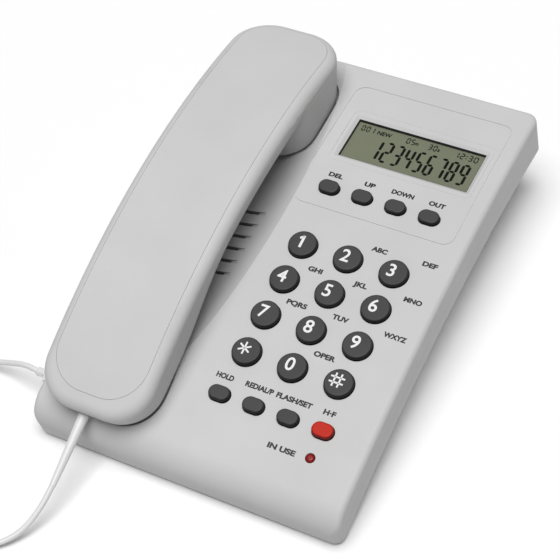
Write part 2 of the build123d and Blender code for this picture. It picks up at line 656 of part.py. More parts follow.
# ---------------------------------------------------------------- display and keys
def lcd_window():
    """Clear window in the display recess."""
    size = [side - 2 * ASSEMBLY_GAP for side in WINDOW_SIZE]
    return display_place() * upright(slab(size), -RECESS_DEPTH - WINDOW_THICKNESS, -RECESS_DEPTH)


def lcd_module():
    """Display glass and its frame, against the housing under the window."""
    top = -RECESS_DEPTH - WINDOW_THICKNESS - 0.25
    glass = upright(slab([side + 1.0 for side in WINDOW_SIZE]), top - 1.6, top)
    frame = upright(slab(MODULE_SIZE), top - MODULE_THICKNESS, top - 1.6)
    return display_place() * (glass + frame)


def key(x, y, is_digit):
    """One key: cap with a rounded edge, flange under the housing, stem towards the mat."""
    half_length = DIGIT_RADIUS if is_digit else OVAL_SIZE[1] / 2
    flange_top = face_z(abs(y) + half_length + FLANGE_LIP, WALL) - SLIDING_GAP
    cap = upright(key_outline(is_digit), flange_top - FLANGE_THICKNESS, face_z(y) + KEY_PROUD)
    cap = fillet(cap.edges().group_by(Axis.Z)[-1], KEY_EDGE_ROUND)
    flange = upright(key_outline(is_digit, FLANGE_LIP), flange_top - FLANGE_THICKNESS, flange_top)
    stem = upright(Circle(STEM_RADIUS), STEM_END_Z, flange_top)
    return Pos(x, y) * (cap + flange + stem)


def keypad_mat():
    """Rubber mat on the board, with a collar round each key's stem."""
    mat = block((-MAT_HALF_X, MAT_HALF_X), MAT_Y, (MAT_TOP_Z - MAT_THICKNESS, MAT_TOP_Z))
    hole = STEM_RADIUS + 0.5
    for _, x, y in digit_keys() + oval_keys():
        collar = ring(hole + COLLAR_WALL, hole)
        mat += upright(Pos(x, y) * collar, MAT_TOP_Z, MAT_TOP_Z + COLLAR_HEIGHT)
    return mat


def main_board():
    """Circuit board with its larger components underneath."""
    bottom = BOARD_TOP_Z - BOARD_THICKNESS
    board = block((BOARD_LEFT, BOARD_RIGHT), (BOARD_FRONT, BOARD_REAR), (bottom, BOARD_TOP_Z))
    for x, y in BOARD_SCREWS:
        board -= upright(Pos(x, y) * Circle(BOARD_SCREW_RADIUS + 0.1), bottom - 1.0, BOARD_TOP_Z + 1.0)
    board -= upright(Pos(SPEAKER_X, SPEAKER_Y) * Circle(SPEAKER_RADIUS + 2.5), bottom - 1.0, 0.0)
    board += Pos(-4.0, 6.0, bottom - 0.7) * Box(14.0, 14.0, 1.4)
    for x, y in ((-22.0, -18.0), (-14.0, -18.0), (10.0, -24.0)):
        board += upright(Pos(x, y) * Circle(3.1), bottom - 7.0, bottom)
    return board


def in_use_led():
    """Lamp with a domed lens."""
    top = face_z(LAMP_Y) + LAMP_PROUD
    lamp = upright(Circle(LAMP_RADIUS), BOARD_TOP_Z, top)
    return Pos(LAMP_X, LAMP_Y) * fillet(lamp.edges().group_by(Axis.Z)[-1], LAMP_RADIUS * 0.6)


# ---------------------------------------------------------------- sound and switches
def base_speaker():
    """Loudspeaker under the slots: basket, rim and magnet."""
    rim = upright(Circle(SPEAKER_RADIUS), SPEAKER_TOP_Z - 1.6, SPEAKER_TOP_Z)
    cone_space = upright(Circle(SPEAKER_RADIUS - 3.0), SPEAKER_TOP_Z - 1.0, SPEAKER_TOP_Z + 1.0)
    basket = upright(Circle(SPEAKER_RADIUS - 3.0), SPEAKER_TOP_Z - 4.5, SPEAKER_TOP_Z - 1.6)
    magnet = upright(Circle(9.0), SPEAKER_TOP_Z - 8.0, SPEAKER_TOP_Z - 4.5)
    return Pos(SPEAKER_X, SPEAKER_Y) * (rim + basket + magnet - cone_space)


def base_microphone():
    """Hands-free microphone over its hole in the floor."""
    floor = FOOT_HEIGHT + WALL
    return DESK * upright(Pos(*MICROPHONE_PLACE) * Circle(4.8), floor, floor + 5.0)


def hook_plunger():
    """Plunger that the handset holds down."""
    top = HOOK_TOP_Z
    tab = upright(slab(HOOK_SIZE), HOOK_FLANGE_Z - 1.5, top)
    tab = fillet(tab.edges().group_by(Axis.Z)[-1], 1.0)
    flange = upright(slab((HOOK_SIZE[0] + 3.0, HOOK_SIZE[1] + 3.0)), HOOK_FLANGE_Z - 1.5, HOOK_FLANGE_Z)
    return DESK * Pos(*hook_xy()) * (tab + flange)


def hook_spring():
    """Return spring: flat rings joined by short links on alternate sides."""
    bottom, top = HOOK_BRACKET_Z, HOOK_FLANGE_Z - 1.5
    outer, inner, thickness, turns = 3.0, 2.2, 0.5, 5
    pitch = (top - bottom - thickness) / (turns - 1)
    spring = upright(ring(outer, inner), bottom, bottom + thickness)
    for turn in range(1, turns):
        level = bottom + turn * pitch
        side = (outer + inner) / 2 if turn % 2 else -(outer + inner) / 2
        spring += upright(ring(outer, inner), level, level + thickness)
        spring += block((side - 0.3, side + 0.3), (-0.6, 0.6), (level - pitch + 0.1, level + 0.1))
    return DESK * Pos(*hook_xy()) * spring


def hook_switch():
    """Bracket with the hook switch, held by two posts of the upper housing."""
    width = HOOK_POSTS[1] - HOOK_POSTS[0] + 6.0
    bracket = upright(slab((width, 12.0), 2.0), HOOK_BRACKET_Z - 2.0, HOOK_BRACKET_Z)
    switch = Pos(0, 0, HOOK_BRACKET_Z - 4.5) * Box(10.0, 6.0, 5.0)
    return DESK * Pos(*hook_xy()) * (bracket + switch)


def jack_shell(size, mouth, depth):
    """Modular jack facing +X: a block with a stepped socket."""
    body = Box(*size)
    socket = Pos(size[0] / 2 - depth / 2, 0, 0) * Box(depth, *mouth)
    notch = Pos(size[0] / 2 - depth / 2, 0, -mouth[1] / 2) * Box(depth, mouth[0] * 0.45, 2.0)
    return body - socket - notch


def line_jack():
    """Socket for the wall line, in the rear of the lower housing."""
    size = (LINE_JACK_SIZE[1], LINE_JACK_SIZE[0], LINE_JACK_SIZE[2])
    jack = Rot(Z=90) * jack_shell(size, LINE_JACK_MOUTH, LINE_JACK_DEPTH)
    rear = FLOOR_HALF_Y + 2.0
    return DESK * Pos(LINE_JACK_X, rear - LINE_JACK_SIZE[1] / 2, LINE_JACK_Z) * jack


def handset_jack():
    """Socket for the handset's cord, behind the left side of the skirt."""
    jack = Rot(Z=180) * jack_shell(HANDSET_JACK_SIZE, JACK_MOUTH, HANDSET_JACK_DEPTH)
    x = BASE_LEFT + WALL + HANDSET_JACK_SIZE[0] / 2
    return Pos(x, HANDSET_JACK_Y, HANDSET_JACK_Z) * jack


def ringer_switch():
    """Knob of the ringer switch, through its slot in the rear wall."""
    half_x, half_z = RINGER_KNOB[0] / 2, RINGER_KNOB[1] / 2
    inside = BASE_REAR - WALL
    knob = block((-half_x, half_x), (inside - 2.6, BASE_REAR + 1.2), (-half_z, half_z))
    plate = block((-half_x - 2.4, half_x + 2.4), (inside - 2.0, inside - 0.6), (-half_z - 1.2, half_z + 1.2))
    return Pos(RINGER_X, 0, RINGER_Z) * (knob + plate)


def ringer_switch_body():
    """Fixed body of the ringer switch."""
    rear = BASE_REAR - WALL - 3.0
    return Pos(RINGER_X, rear - 3.0, RINGER_Z) * Box(15.0, 6.0, 6.0)


# ---------------------------------------------------------------- handset
def handset_screw_places():
    """Y and height of the screws in the handle's underside."""
    return [(y, polar_z(HANDLE_RADIUS, y)) for y in (10.0, 48.0)]


def handset_voids():
    """Hollow of the handset and the seat of its cover."""
    seat = BACK_RADIUS - COVER_THICKNESS
    handle = handle_block(HANDLE_VOID_INSET, WALL, seat + 0.5, HANDLE_VOID_ROUND)
    cup = cup_block(WALL + 0.2, WALL, HANDLE_RADIUS + 4.0, 1.0)
    opening = back_layer(COVER_SEAM, seat, BACK_RADIUS + 2.0)
    return [handle, cup, opening]


def sound_holes():
    """Holes in the ear cup and under the mouthpiece."""
    ear = [cup_place() * Cylinder(1.1, 12.0)]
    for radius, count in ((4.5, 6), (9.0, 10)):
        for index in range(count):
            angle = radians(360.0 * index / count)
            place = Pos(radius * cos(angle), radius * sin(angle))
            ear.append(cup_place() * place * Cylinder(1.1, 12.0))
    mouth = [Pos(HANDSET_X + x, MOUTH_HOLES_Y, -6.0) * Cylinder(0.9, 12.0) for x in (-4.0, 0.0, 4.0)]
    return ear + mouth


def relief_plane(distance=0.0):
    """Plane across the strain relief, a distance out from the handset."""
    root, tip = Vector(*RELIEF_ROOT), Vector(*RELIEF_TIP)
    direction = (tip - root).normalized()
    return Plane(origin=root + direction * distance, z_dir=direction)


def handset_shell():
    """Tub of the handset: rounded shoulder, handle underside, ear cup, mouthpiece."""
    body = handset_block(shoulder=SHOULDER_ROUND)
    cuts = handset_voids() + sound_holes()
    cuts.append(DESK * extrude(relief_plane(-9.0) * Circle(RELIEF_NECK_RADIUS + 0.1), amount=14.0))
    for y, z in handset_screw_places():
        cuts.append(Pos(HANDSET_X, y, z) * Cylinder(1.4, 12.0))
        cuts.append(Pos(HANDSET_X, y, z) * Cylinder(2.9, 2.4))
    return body - cuts


def handset_cover():
    """Back of the handset, seated inside the shoulder, with two screw pillars."""
    seat = BACK_RADIUS - COVER_THICKNESS
    cover = back_layer(0.0, seat, BACK_RADIUS)
    for y, z in handset_screw_places():
        pillar = Pos(HANDSET_X, y) * ring(3.4, 1.3)
        cover += upright(pillar, z + WALL + 0.3, polar_z(seat, y) + 0.8)
    return cover


def handset_screws():
    """Two screws up through the handle into the cover's pillars."""
    one = screw(1.25, 9.0, 2.6, 1.1)
    return Compound([Pos(HANDSET_X, y, z + 1.2) * one for y, z in handset_screw_places()])


def receiver_gasket():
    """Foam ring between the receiver and the ear cup."""
    return cup_place() * upright(ring(RECEIVER_RADIUS, RECEIVER_RADIUS - 3.5), WALL, WALL + 1.5)


def receiver_capsule():
    """Receiver capsule with a smaller magnet behind it."""
    bottom = WALL + 1.5
    case = upright(Circle(RECEIVER_RADIUS), bottom, bottom + 4.0)
    magnet = upright(Circle(8.0), bottom + 4.0, bottom + 7.0)
    return cup_place() * (case + magnet)


def handset_microphone():
    """Electret capsule over the mouthpiece holes."""
    return upright(Pos(HANDSET_X, MOUTH_HOLES_Y) * Circle(4.8), -1.7, 3.7)


def handset_weight():
    """Steel bar that gives the handset its weight."""
    middle_z = (polar_z(HANDLE_RADIUS, 29.0) + WALL + polar_z(BACK_RADIUS - COVER_THICKNESS, 29.0)) / 2
    return Pos(HANDSET_X, 29.0, middle_z) * Box(20.0, 26.0, 6.0)


# ---------------------------------------------------------------- handset cord, in the desk frame
def bend_radii(route):
    """Radius of the arc at each corner: 0.45 of the shorter run over the tangent of half the turn."""
    points = [Vector(*point) for point in route]
    radii = []
    for before, corner, after in zip(points, points[1:], points[2:]):
        run_in, run_out = corner - before, after - corner
        half_turn = radians(run_in.get_angle(run_out)) / 2
        radii.append(0.45 * min(run_in.length, run_out.length) / tan(half_turn))
    return radii


def cord_tube(name, route, diameter):
    """Tube along straight runs joined by tangent arcs."""
    radii = bend_radii(route)
    path = FilletPolyline(*route, radius=radii)
    section = Plane(origin=path @ 0, z_dir=path % 0) * Circle(diameter / 2)
    tube = sweep(section, path=path)
    expected = pi * diameter ** 2 / 4 * path.length
    print(f"{name}: length {path.length:.1f}, volume {tube.volume / expected:.4f} of section x length")
    print(f"{name}: radii", [round(radius, 1) for radius in radii])
    return tube


def coil_entry(distance):
    """Point on the coil's first run, a distance before the coil."""
    start, following = Vector(*COIL_ROUTE[0]), Vector(*COIL_ROUTE[1])
    return tuple(start - (following - start).normalized() * distance)


def plug_end():
    """Point where the cord enters its plug."""
    end = FACE * Pos(BASE_LEFT - PLUG_LENGTH_OUT, HANDSET_JACK_Y, HANDSET_JACK_Z)
    return tuple(end.position)


def strain_relief():
    """Tapered sleeve out of the handset's front end, with a flange inside its wall."""
    length = (Vector(*RELIEF_TIP) - Vector(*RELIEF_ROOT)).length
    sections = [
        relief_plane(distance) * Circle(radius)
        for distance, radius in ((0.7, RELIEF_ROOT_RADIUS), (length, RELIEF_TIP_RADIUS))
    ]
    neck = extrude(relief_plane(-6.5) * Circle(RELIEF_NECK_RADIUS), amount=8.0)
    flange = extrude(relief_plane(-7.6) * Circle(3.2), amount=1.5)
    return loft(sections) + neck + flange


def cord_plug():
    """Modular plug of the handset's cord, with its latch, in the face frame."""
    left, inside = BASE_LEFT, BASE_LEFT + WALL + HANDSET_JACK_DEPTH - 1.0
    body = block((left - 4.0, inside), (-PLUG_HALF_Y, PLUG_HALF_Y), (-PLUG_HALF_Z, PLUG_HALF_Z))
    sleeve_length = PLUG_LENGTH_OUT - 4.0
    sleeve = Pos(left - 4.0 - sleeve_length / 2, 0, 0) * Rot(Y=90) * Cylinder(1.9, sleeve_length)
    latch = block((left - 3.5, left - 0.5), (-1.4, 1.4), (-PLUG_HALF_Z - 0.9, -PLUG_HALF_Z))
    return Pos(0, HANDSET_JACK_Y, HANDSET_JACK_Z) * (body + sleeve + latch)


# ---------------------------------------------------------------- writing the files
def write(name, shape):
    """Write one node's STEP file."""
    export_step(shape, f"parts/{name}.step")


def main():
    """Build every node and write it in the desk frame."""
    os.makedirs("parts", exist_ok=True)
    face_nodes = (
        upper_housing, lower_housing, battery_cover, batteries, battery_contacts, rubber_feet,
        housing_screws, board_screws, lcd_window, lcd_module, keypad_mat, main_board, in_use_led,
        base_speaker, base_microphone, hook_plunger, hook_spring, hook_switch, line_jack,
        handset_jack, ringer_switch, ringer_switch_body, handset_shell, handset_cover,
        handset_screws, receiver_gasket, receiver_capsule, handset_microphone, handset_weight,
        cord_plug,
    )
    for build in face_nodes:
        write(build.__name__, FACE * build())
    for keys, is_digit in ((digit_keys(), True), (oval_keys(), False)):
        for name, x, y in keys:
            write(name, FACE * key(x, y, is_digit))
    write("strain_relief", strain_relief())
    write("cord_lead", cord_tube("cord_lead", LEAD_ROUTE + [coil_entry(CORD_GAP)], CORD_DIAMETER))
    write("cord_coil", cord_tube("cord_coil", COIL_ROUTE, COIL_DIAMETER))
    write("cord_tail", cord_tube("cord_tail", TAIL_ROUTE + [plug_end()], CORD_DIAMETER))


main()
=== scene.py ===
import json
import math

import bpy
import numpy as np
from mathutils import Matrix, Vector


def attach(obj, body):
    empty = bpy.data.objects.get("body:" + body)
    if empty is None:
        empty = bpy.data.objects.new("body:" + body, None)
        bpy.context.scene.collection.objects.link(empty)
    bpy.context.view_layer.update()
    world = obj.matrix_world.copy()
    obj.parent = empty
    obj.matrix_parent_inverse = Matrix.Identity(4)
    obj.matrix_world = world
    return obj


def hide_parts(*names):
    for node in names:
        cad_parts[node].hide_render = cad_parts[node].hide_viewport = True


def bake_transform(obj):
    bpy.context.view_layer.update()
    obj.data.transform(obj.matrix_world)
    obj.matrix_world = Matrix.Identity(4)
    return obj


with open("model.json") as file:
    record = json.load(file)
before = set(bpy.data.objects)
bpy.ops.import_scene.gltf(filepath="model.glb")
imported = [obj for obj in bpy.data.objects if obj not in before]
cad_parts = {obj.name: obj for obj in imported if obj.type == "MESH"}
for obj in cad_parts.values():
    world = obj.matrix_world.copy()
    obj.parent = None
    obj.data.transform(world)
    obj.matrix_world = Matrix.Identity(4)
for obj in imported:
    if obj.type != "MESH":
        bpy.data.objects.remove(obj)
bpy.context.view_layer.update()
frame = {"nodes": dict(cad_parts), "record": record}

# Corded desk telephone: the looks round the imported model. Everything is in metres, in the desk
# frame: +X to the right, +Y to the rear, +Z up. Places on the face and on the display are
# written in millimetres of their own frames, and MM turns them into metres.
MM = 0.001

# ---------------------------------------------------------------- driving dimensions
FACE = Matrix.Translation((0.026, -0.02649, 0.036)) @ Matrix.Rotation(math.radians(10.0), 4, "X")
FACE_NORMAL = (0.0, -math.sin(math.radians(10.0)), math.cos(math.radians(10.0)))
FACE_RADIUS = 607.0
KEY_PROUD = 2.4
DISPLAY_X, DISPLAY_Y, GLASS_Z = 1.4, 84.7, -2.45
WINDOW_SIZE, WINDOW_TOP = (57.8, 21.6), -1.0
# Black gasket round the window opening: painted shade on the opening's walls.
SHADE_GASKET_CLEARANCE, SHADE_GASKET_INNER, SHADE_GASKET_DROP = 0.04, 0.36, 0.05
INK_THICKNESS = 0.03
# Reach of the lighter edges, rubbed wear and painted edge highlight.
EDGE_WEAR_AND_HIGHLIGHT_RADIUS = 0.5

CAMERA_PLACE = (0.246766, -0.381821, 0.553724)
CAMERA_RIGHT = (0.88618, 0.45291, -0.09775)
CAMERA_UP = (-0.29328, 0.71162, 0.63843)
CAMERA_BACK = (0.35871, -0.53710, 0.76345)
CAMERA_LENS, CAMERA_SENSOR = 109.29, 36.0

FLOOR_HALF, FLOOR_Z, FLOOR_GLOW = 3.0, -0.0003, 0.03
WORLD_STRENGTH = 0.19
SUN_PLACE, SUN_SPREAD, SUN_STRENGTH = (0.05, -0.14, 1.0), 45.0, 3.62

# Handset cord: the route's control points, from inside the strain relief to inside the plug
CORD_LENGTH, CORD_DIAMETER = 1.45, 0.0024
HELIX_RADIUS, HELIX_RAMP, TURN_POINTS, TUBE_SIDES = 0.0040, 0.007, 16, 10
PLAIN_STEP = 0.0008
RELIEF_TIP = (-0.0424, -0.1265, 0.0120)
LEAD_ROUTE = [
    (-0.0424, -0.1198, 0.0146), RELIEF_TIP, (-0.0434, -0.1358, 0.0078), (-0.0468, -0.1456, 0.0036),
    (-0.0535, -0.1535, 0.0022), (-0.0620, -0.1586, 0.0034),
]
COIL_ROUTE = [
    (-0.0700, -0.1608, 0.0053), (-0.0920, -0.1650, 0.0053), (-0.1170, -0.1600, 0.0053),
    (-0.1370, -0.1450, 0.0053), (-0.1440, -0.1210, 0.0053), (-0.1350, -0.0980, 0.0053),
    (-0.1140, -0.0855, 0.0053),
]
TAIL_ROUTE = [
    (-0.1060, -0.0816, 0.0046), (-0.0978, -0.0803, 0.0060), (-0.0902, -0.0805, 0.0096),
    (-0.0836, -0.0809, 0.0123), (-0.0770, -0.0819, 0.0128), (-0.0735, -0.0819, 0.0128),
]


# ---------------------------------------------------------------- camera
def make_camera():
    """Camera that sees the phone from the front right, well above it."""
    camera = bpy.data.objects.new("camera", bpy.data.cameras.new("camera"))
    bpy.context.scene.collection.objects.link(camera)
    camera.data.lens = CAMERA_LENS
    camera.data.sensor_width = CAMERA_SENSOR
    camera.data.clip_start = 0.01
    turn = Matrix((CAMERA_RIGHT, CAMERA_UP, CAMERA_BACK)).transposed()
    camera.matrix_world = Matrix.Translation(CAMERA_PLACE) @ turn.to_4x4()
    bpy.context.scene.camera = camera


# ---------------------------------------------------------------- mesh helpers
def new_piece(name, solid, material, body=None, smooth=False):
    """Object made of (points, faces), riding on a body."""
    points, faces = solid
    mesh = bpy.data.meshes.new(name)
    mesh.from_pydata([tuple(point) for point in points], [], faces)
    mesh.materials.append(material)
    mesh.polygons.foreach_set("use_smooth", [smooth] * len(mesh.polygons))
    mesh.update()
    piece = bpy.data.objects.new(name, mesh)
    bpy.context.scene.collection.objects.link(piece)
    if body:
        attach(piece, body)
    return piece


def moved(solid, matrix):
    """The solid's points carried by a matrix, its own lengths taken as millimetres."""
    scale = Matrix.Scale(MM, 4)
    return [matrix @ (scale @ Vector(point)) for point in solid[0]], solid[1]


def joined(solids):
    """Several solids as one."""
    points, faces = [], []
    for more_points, more_faces in solids:
        start = len(points)
        points.extend(more_points)
        faces.extend([tuple(index + start for index in face) for face in more_faces])
    return points, faces


def prism(outline, bottom, top):
    """Upright solid over a convex outline of (x, y) points."""
    count = len(outline)
    points = [(x, y, bottom) for x, y in outline] + [(x, y, top) for x, y in outline]
    faces = [tuple(reversed(range(count))), tuple(range(count, 2 * count))]
    for index in range(count):
        following = (index + 1) % count
        faces.append((index, following, following + count, index + count))
    return points, faces


def frame_solid(outer, inner, bottom, top):
    """Rectangular tube between two rectangles given as (width, height)."""
    corners = ((-0.5, -0.5), (0.5, -0.5), (0.5, 0.5), (-0.5, 0.5))
    points = [
        (x * size[0], y * size[1], z)
        for size, z in ((outer, bottom), (outer, top), (inner, top), (inner, bottom))
        for x, y in corners
    ]
    faces = []
    for loop in range(4):
        for index in range(4):
            following = (index + 1) % 4
            here, above = 4 * loop, 4 * ((loop + 1) % 4)
            faces.append((here + index, here + following, above + following, above + index))
    return points, faces


def bar(start, end, width, point_share=1.0):
    """Flat stroke from start to end with pointed ends, as a solid of the ink's thickness."""
    (x0, y0), (x1, y1) = start, end
    length = math.hypot(x1 - x0, y1 - y0)
    along = ((x1 - x0) / length, (y1 - y0) / length)
    half, tip = width / 2, width / 2 * point_share
    ends = [(tip, half), (length - tip, half), (length, 0), (length - tip, -half), (tip, -half), (0, 0)]
    outline = [
        (x0 + u * along[0] - v * along[1], y0 + u * along[1] + v * along[0])
        for u, v in reversed(ends)
    ]
    return prism(outline, 0.0, INK_THICKNESS)


def smoothed(name, degrees=32.0):
    """Rounds of a CAD node shade smoothly and its corners stay sharp."""
    mesh = frame["nodes"][name].data
    mesh.shade_smooth()
    mesh.set_sharp_from_angle(angle=math.radians(degrees))


# ---------------------------------------------------------------- places
def face_place(x, y):
    """Matrix of a place on the arched face, given in millimetres of the face frame."""
    z = math.sqrt(FACE_RADIUS ** 2 - y * y) - FACE_RADIUS
    tilt = Matrix.Rotation(-math.asin(y / FACE_RADIUS), 4, "X")
    return FACE @ Matrix.Translation((x * MM, y * MM, z * MM)) @ tilt


def key_place(x, y):
    """Matrix of a place on the flat top of the key that stands at x, y."""
    z = math.sqrt(FACE_RADIUS ** 2 - y * y) - FACE_RADIUS + KEY_PROUD
    return FACE @ Matrix.Translation((x * MM, y * MM, z * MM))


def display_place(z):
    """Matrix of the middle of the display, a height above the face there."""
    return face_place(DISPLAY_X, DISPLAY_Y) @ Matrix.Translation((0, 0, z * MM))


# ---------------------------------------------------------------- materials
def add(tree, kind, values=None, links=None, **options):
    """One shader node with its options, its sockets' values and what feeds its sockets."""
    node = tree.nodes.new(kind)
    for option, value in options.items():
        setattr(node, option, value)
    for socket, value in (values or {}).items():
        node.inputs[socket].default_value = value
    for socket, source in (links or {}).items():
        tree.links.new(source, node.inputs[socket])
    return node


def noise(tree, place, size, detail=2.0):
    """Noise whose features are about this size, in millimetres."""
    values = {"Scale": 1.0 / (size * MM), "Detail": detail}
    return add(tree, "ShaderNodeTexNoise", values, {"Vector": place}).outputs["Fac"]


def mapped(tree, source, low, high, to_low, to_high):
    """Source's range from low to high, turned into another range and held inside it."""
    values = {"From Min": low, "From Max": high, "To Min": to_low, "To Max": to_high}
    return add(tree, "ShaderNodeMapRange", values, {"Value": source}).outputs["Result"]


def mixed(tree, share, first, second):
    """Mix of two colours, each a plain colour or another node's."""
    values, links = {}, {"Fac": share}
    for socket, colour in (("Color1", first), ("Color2", second)):
        if isinstance(colour, tuple):
            values[socket] = (*colour, 1.0)
        else:
            links[socket] = colour
    return add(tree, "ShaderNodeMixRGB", values, links).outputs["Color"]


def product(tree, first, second):
    """Product of two numbers of the shader."""
    return add(tree, "ShaderNodeMath", None, {0: first, 1: second}, operation="MULTIPLY").outputs[0]


def facing_share(tree, direction, low, high):
    """0 where the surface turns away from a direction, 1 where it faces it."""
    normal = add(tree, "ShaderNodeNewGeometry").outputs["Normal"]
    dot = add(tree, "ShaderNodeVectorMath", {1: direction}, {0: normal}, operation="DOT_PRODUCT")
    return mapped(tree, dot.outputs["Value"], low, high, 0.0, 1.0)


def edge_share(tree, radius):
    """1 along sharp outer edges, falling to 0 a radius away from them."""
    normal = add(tree, "ShaderNodeNewGeometry").outputs["Normal"]
    round_normal = add(tree, "ShaderNodeBevel", {"Radius": radius * MM}, samples=4).outputs["Normal"]
    dot = add(tree, "ShaderNodeVectorMath", None, {0: normal, 1: round_normal}, operation="DOT_PRODUCT")
    return mapped(tree, dot.outputs["Value"], 0.98, 0.80, 0.0, 1.0)


def shaded(colour, factor):
    """Linear colour made lighter or darker by a factor."""
    return tuple(min(1.0, channel * factor) for channel in colour)


def grey(value):
    """Linear colour of a screen grey from 0 to 255, or of three such values."""
    channels = value if isinstance(value, tuple) else (value,) * 3
    return tuple(((c / 255 + 0.055) / 1.055) ** 2.4 for c in channels)


def moulded(name, colour, roughness, grain=0.12, grain_size=0.35, spread=0.03, edge_wear_and_highlight=0.0, **sockets):
    """Moulded material: cloudy colour, fine surface grain, uneven gloss, and edges lightened as rubbed wear
    and painted edge highlight.
    """
    material = bpy.data.materials.new(name)
    material.use_nodes = True
    tree = material.node_tree
    shader = tree.nodes["Principled BSDF"]
    place = add(tree, "ShaderNodeTexCoord").outputs["Object"]
    cloud = mapped(tree, noise(tree, place, 30.0, 4.0), 0.3, 0.7, 0.0, 1.0)
    tint = mixed(tree, cloud, shaded(colour, 1 - spread), shaded(colour, 1 + spread))
    fine = noise(tree, place, grain_size, 3.0)
    speck = mapped(tree, fine, 0.35, 0.65, 0.0, 0.35)
    tint = mixed(tree, speck, tint, shaded(colour, 1 - 1.5 * spread))
    # Patchy lighter edges: rubbed wear and a painted edge highlight.
    if edge_wear_and_highlight:
        patches = mapped(tree, noise(tree, place, 4.0), 0.4, 0.6, 0.2, edge_wear_and_highlight)
        rubbed_and_highlit = product(tree, edge_share(tree, EDGE_WEAR_AND_HIGHLIGHT_RADIUS), patches)
        tint = mixed(tree, rubbed_and_highlit, tint, shaded(colour, 1.35))
    tree.links.new(tint, shader.inputs["Base Color"])
    gloss = mapped(tree, noise(tree, place, 9.0, 3.0), 0.3, 0.7, roughness - 0.05, roughness + 0.05)
    tree.links.new(gloss, shader.inputs["Roughness"])
    bump = add(
        tree, "ShaderNodeBump", {"Strength": grain, "Distance": 0.05 * MM}, {"Height": fine}
    )
    tree.links.new(bump.outputs["Normal"], shader.inputs["Normal"])
    for socket, value in sockets.items():
        shader.inputs[socket.replace("_", " ")].default_value = value
    return material


def key_material_with_painted_side_shade(name, top, side, roughness):
    """Key: a satin top in its own colour over a skirt painted darker, a painted shade on the key's sides."""
    material = moulded(name, top, roughness, grain=0.2, grain_size=0.3, spread=0.05, edge_wear_and_highlight=0.35)
    tree = material.node_tree
    shader = tree.nodes["Principled BSDF"]
    shader.inputs["Specular IOR Level"].default_value = 0.2
    tint = shader.inputs["Base Color"].links[0].from_socket
    # Sides turned away from the face take the darker colour: painted shade on the key's sides.
    share = facing_share(tree, FACE_NORMAL, 0.35, 0.9)
    tree.links.new(mixed(tree, share, side, tint), shader.inputs["Base Color"])
    return material


def window_material(name):
    """Clear window: nearly invisible straight through, with a glossy front."""
    return moulded(name, grey(12), 0.08, grain=0.02, grain_size=3.0, Alpha=0.05)


def display_material(name):
    """Display glass: green grey, slightly uneven, with a fine grain."""
    glass = grey((116, 120, 101))
    return moulded(name, glass, 0.45, grain=0.03, grain_size=1.2, spread=0.04, Specular_IOR_Level=0.2)


def metal_material(name, colour, roughness):
    """Bare or plated metal."""
    material = moulded(name, colour, roughness, grain=0.1, grain_size=0.2, spread=0.05)
    material.node_tree.nodes["Principled BSDF"].inputs["Metallic"].default_value = 1.0
    return material


def make_materials():
    """One material for each of the record's slots, and those of the printed details."""
    return {
        "grey_plastic": moulded(
            "grey_plastic", grey(180), 0.6, edge_wear_and_highlight=0.25, Specular_IOR_Level=0.25
        ),
        # Keys: the second colour is the painted shade of their sides.
        "key_plastic": key_material_with_painted_side_shade("key_plastic", grey(59), grey(5), 0.55),
        "red_plastic": key_material_with_painted_side_shade("red_plastic", grey((171, 29, 8)), grey((90, 8, 3)), 0.5),
        "window_plastic": window_material("window_plastic"),
        "display_glass": display_material("display_glass"),
        "mat_rubber": moulded("mat_rubber", grey(150), 0.7, grain=0.3),
        "circuit_board": moulded("circuit_board", grey((30, 92, 52)), 0.4, spread=0.08),
        "lamp_plastic": moulded("lamp_plastic", grey((122, 3, 6)), 0.35, grain=0.03, Specular_IOR_Level=0.3),
        "black_plastic": moulded("black_plastic", grey(38), 0.5, spread=0.08),
        "cell_jacket": moulded("cell_jacket", grey((52, 74, 110)), 0.35, spread=0.08),
        "steel": metal_material("steel", grey(190), 0.32),
        "foot_rubber": moulded("foot_rubber", grey(58), 0.85, grain=0.5, spread=0.1),
        "foam": moulded("foam", grey(48), 0.95, grain=0.9, grain_size=0.8, spread=0.15),
        "clear_plastic": moulded("clear_plastic", grey(225), 0.2, grain=0.03, Alpha=0.55),
        "cord_vinyl": moulded("cord_vinyl", grey(204), 0.38, grain=0.08, grain_size=0.8),
        "black_ink": moulded("black_ink", grey(12), 0.6, grain=0.1),
        "white_ink": moulded("white_ink", grey(210), 0.55, grain=0.1),
        "segment_ink": moulded("segment_ink", grey((12, 14, 9)), 0.6, grain=0.02, Specular_IOR_Level=0.1),
    }


def finish_cad_nodes(materials):
    """Every CAD node that shows gets its slot's material and smooth rounds."""
    for part in frame["record"]["subparts"]:
        node = frame["nodes"][part["node"]]
        node.data.materials.clear()
        node.data.materials.append(materials[part["material_slot"]])
        smoothed(part["node"])


# ---------------------------------------------------------------- cord
def spline_points(route):
    """Points along the smooth NURBS line that the route's points control."""
    curve = bpy.data.curves.new("route", "CURVE")
    curve.dimensions = "3D"
    curve.resolution_u = 32
    spline = curve.splines.new("NURBS")
    spline.points.add(len(route) - 1)
    for point, place in zip(spline.points, route):
        point.co = (*place, 1.0)
    spline.order_u = 3
    spline.use_endpoint_u = True
    holder = bpy.data.objects.new("route", curve)
    mesh = bpy.data.meshes.new_from_object(holder)
    line = np.array([vertex.co for vertex in mesh.vertices], float)
    bpy.data.objects.remove(holder)
    bpy.data.meshes.remove(mesh)
    return line


def lengths_along(line):
    """Length of the line up to each of its points."""
    steps = np.linalg.norm(np.diff(line, axis=0), axis=1)
    return np.concatenate([[0.0], np.cumsum(steps)])


